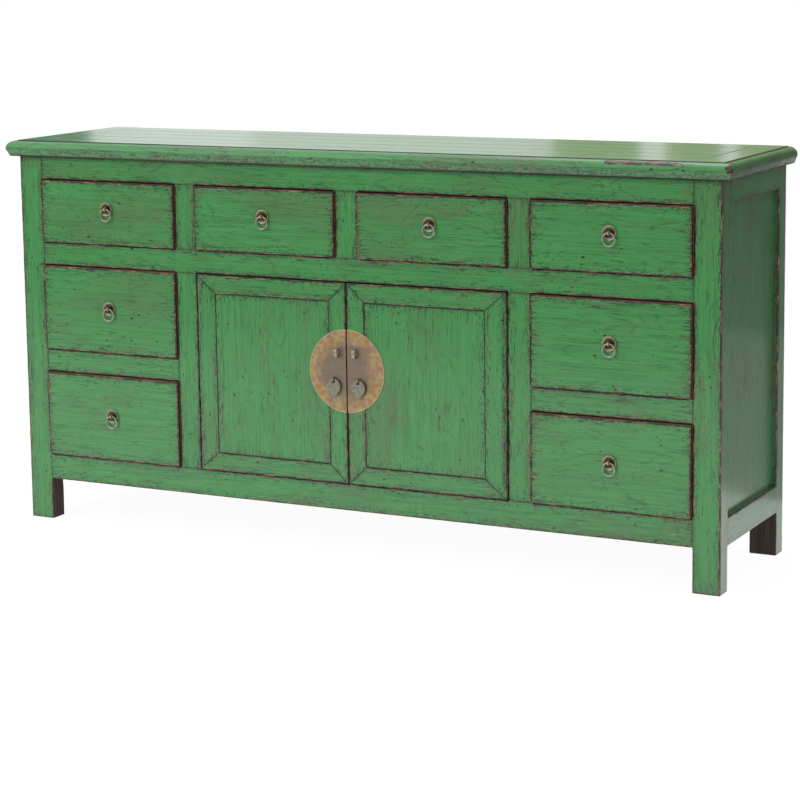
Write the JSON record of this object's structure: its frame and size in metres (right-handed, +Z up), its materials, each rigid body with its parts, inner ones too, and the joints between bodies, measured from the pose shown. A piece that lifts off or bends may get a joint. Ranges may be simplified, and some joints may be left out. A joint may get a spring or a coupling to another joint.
{
  "type": "sideboard",
  "caption": "Green painted sideboard in an east asian style with ring-pull drawers, two pivot-hung doors and a round brass lock plate on square legs.",
  "frame": {"origin": "under the middle of the whole cabinet, on the floor", "axes": "+X to the right along the cabinet's length as seen from the front, +Y to the back, +Z up"},
  "size_m": [1.738, 0.42, 0.88],
  "materials": {
    "painted_wood": "green lacquer, worn",
    "raw_wood": "unpainted, matt",
    "aged_brass": "aged, half shiny",
    "patinated_brass_plate": "patinated, half shiny"
  },
  "bodies": {
    "case": {"front_posts": "painted_wood", "back_posts": "painted_wood", "front_top_rail": "painted_wood", "front_middle_rail": "painted_wood", "front_bottom_rail": "painted_wood", "front_stiles": "painted_wood", "drawer_dividers": "painted_wood", "side_rails": "painted_wood", "left_side_panel": "painted_wood", "right_side_panel": "painted_wood", "back_rails": "raw_wood", "back_panel": "raw_wood", "bottom_boards": "raw_wood", "top_frame": "painted_wood", "top_boards": "painted_wood", "partitions": "raw_wood", "door_shelf": "raw_wood", "drawer_runners": "raw_wood"},
    "drawer_1": {"drawer_1_front": "painted_wood", "drawer_1_box": "raw_wood", "drawer_1_pull": "aged_brass"},
    "drawer_1_ring": {"drawer_1_ring": "aged_brass"},
    "drawer_2": {"drawer_2_front": "painted_wood", "drawer_2_box": "raw_wood", "drawer_2_pull": "aged_brass"},
    "drawer_2_ring": {"drawer_2_ring": "aged_brass"},
    "drawer_3": {"drawer_3_front": "painted_wood", "drawer_3_box": "raw_wood", "drawer_3_pull": "aged_brass"},
    "drawer_3_ring": {"drawer_3_ring": "aged_brass"},
    "drawer_4": {"drawer_4_front": "painted_wood", "drawer_4_box": "raw_wood", "drawer_4_pull": "aged_brass"},
    "drawer_4_ring": {"drawer_4_ring": "aged_brass"},
    "drawer_5": {"drawer_5_front": "painted_wood", "drawer_5_box": "raw_wood", "drawer_5_pull": "aged_brass"},
    "drawer_5_ring": {"drawer_5_ring": "aged_brass"},
    "drawer_6": {"drawer_6_front": "painted_wood", "drawer_6_box": "raw_wood", "drawer_6_pull": "aged_brass"},
    "drawer_6_ring": {"drawer_6_ring": "aged_brass"},
    "drawer_7": {"drawer_7_front": "painted_wood", "drawer_7_box": "raw_wood", "drawer_7_pull": "aged_brass"},
    "drawer_7_ring": {"drawer_7_ring": "aged_brass"},
    "drawer_8": {"drawer_8_front": "painted_wood", "drawer_8_box": "raw_wood", "drawer_8_pull": "aged_brass"},
    "drawer_8_ring": {"drawer_8_ring": "aged_brass"},
    "door_1": {"door_1_frame": "painted_wood", "door_1_panel": "painted_wood", "door_1_plate": "patinated_brass_plate", "door_1_fittings": "aged_brass"},
    "door_1_leaf": {"door_1_leaf": "aged_brass"},
    "door_2": {"door_2_frame": "painted_wood", "door_2_panel": "painted_wood", "door_2_plate": "patinated_brass_plate", "door_2_fittings": "aged_brass"},
    "door_2_leaf": {"door_2_leaf": "aged_brass"}
  },
  "joints": [
    {"name": "drawer_1_slide", "type": "slide", "parent": "case", "child": "drawer_1", "axis": [0, -1, 0], "range_m": [0, 0.28]},
    {"name": "drawer_1_ring_hinge", "type": "hinge", "parent": "drawer_1", "child": "drawer_1_ring", "pos_m": [-0.6075, -0.20224, 0.7305], "axis": [-1, 0, 0], "range_deg": [0, 160]},
    {"name": "drawer_2_slide", "type": "slide", "parent": "case", "child": "drawer_2", "axis": [0, -1, 0], "range_m": [0, 0.28]},
    {"name": "drawer_2_ring_hinge", "type": "hinge", "parent": "drawer_2", "child": "drawer_2_ring", "pos_m": [-0.202, -0.20224, 0.7305], "axis": [-1, 0, 0], "range_deg": [0, 160]},
    {"name": "drawer_3_slide", "type": "slide", "parent": "case", "child": "drawer_3", "axis": [0, -1, 0], "range_m": [0, 0.28]},
    {"name": "drawer_3_ring_hinge", "type": "hinge", "parent": "drawer_3", "child": "drawer_3_ring", "pos_m": [0.202, -0.20224, 0.7305], "axis": [-1, 0, 0], "range_deg": [0, 160]},
    {"name": "drawer_4_slide", "type": "slide", "parent": "case", "child": "drawer_4", "axis": [0, -1, 0], "range_m": [0, 0.28]},
    {"name": "drawer_4_ring_hinge", "type": "hinge", "parent": "drawer_4", "child": "drawer_4_ring", "pos_m": [0.6075, -0.20224, 0.7305], "axis": [-1, 0, 0], "range_deg": [0, 160]},
    {"name": "drawer_5_slide", "type": "slide", "parent": "case", "child": "drawer_5", "axis": [0, -1, 0], "range_m": [0, 0.28]},
    {"name": "drawer_5_ring_hinge", "type": "hinge", "parent": "drawer_5", "child": "drawer_5_ring", "pos_m": [-0.6075, -0.20224, 0.504], "axis": [-1, 0, 0], "range_deg": [0, 160]},
    {"name": "drawer_6_slide", "type": "slide", "parent": "case", "child": "drawer_6", "axis": [0, -1, 0], "range_m": [0, 0.28]},
    {"name": "drawer_6_ring_hinge", "type": "hinge", "parent": "drawer_6", "child": "drawer_6_ring", "pos_m": [-0.6075, -0.20224, 0.257], "axis": [-1, 0, 0], "range_deg": [0, 160]},
    {"name": "drawer_7_slide", "type": "slide", "parent": "case", "child": "drawer_7", "axis": [0, -1, 0], "range_m": [0, 0.28]},
    {"name": "drawer_7_ring_hinge", "type": "hinge", "parent": "drawer_7", "child": "drawer_7_ring", "pos_m": [0.6075, -0.20224, 0.504], "axis": [-1, 0, 0], "range_deg": [0, 160]},
    {"name": "drawer_8_slide", "type": "slide", "parent": "case", "child": "drawer_8", "axis": [0, -1, 0], "range_m": [0, 0.28]},
    {"name": "drawer_8_ring_hinge", "type": "hinge", "parent": "drawer_8", "child": "drawer_8_ring", "pos_m": [0.6075, -0.20224, 0.257], "axis": [-1, 0, 0], "range_deg": [0, 160]},
    {"name": "door_1_hinge", "type": "hinge", "parent": "case", "child": "door_1", "pos_m": [-0.3595, -0.183, 0.3755], "axis": [0, 0, -1], "range_deg": [0, 95]},
    {"name": "door_1_leaf_hinge", "type": "hinge", "parent": "door_1", "child": "door_1_leaf", "pos_m": [-0.03, -0.20254, 0.386], "axis": [-1, 0, 0], "range_deg": [0, 160]},
    {"name": "door_2_hinge", "type": "hinge", "parent": "case", "child": "door_2", "pos_m": [0.3595, -0.183, 0.3755], "axis": [0, 0, 1], "range_deg": [0, 95]},
    {"name": "door_2_leaf_hinge", "type": "hinge", "parent": "door_2", "child": "door_2_leaf", "pos_m": [0.03, -0.20254, 0.386], "axis": [-1, 0, 0], "range_deg": [0, 160]}
  ]
}
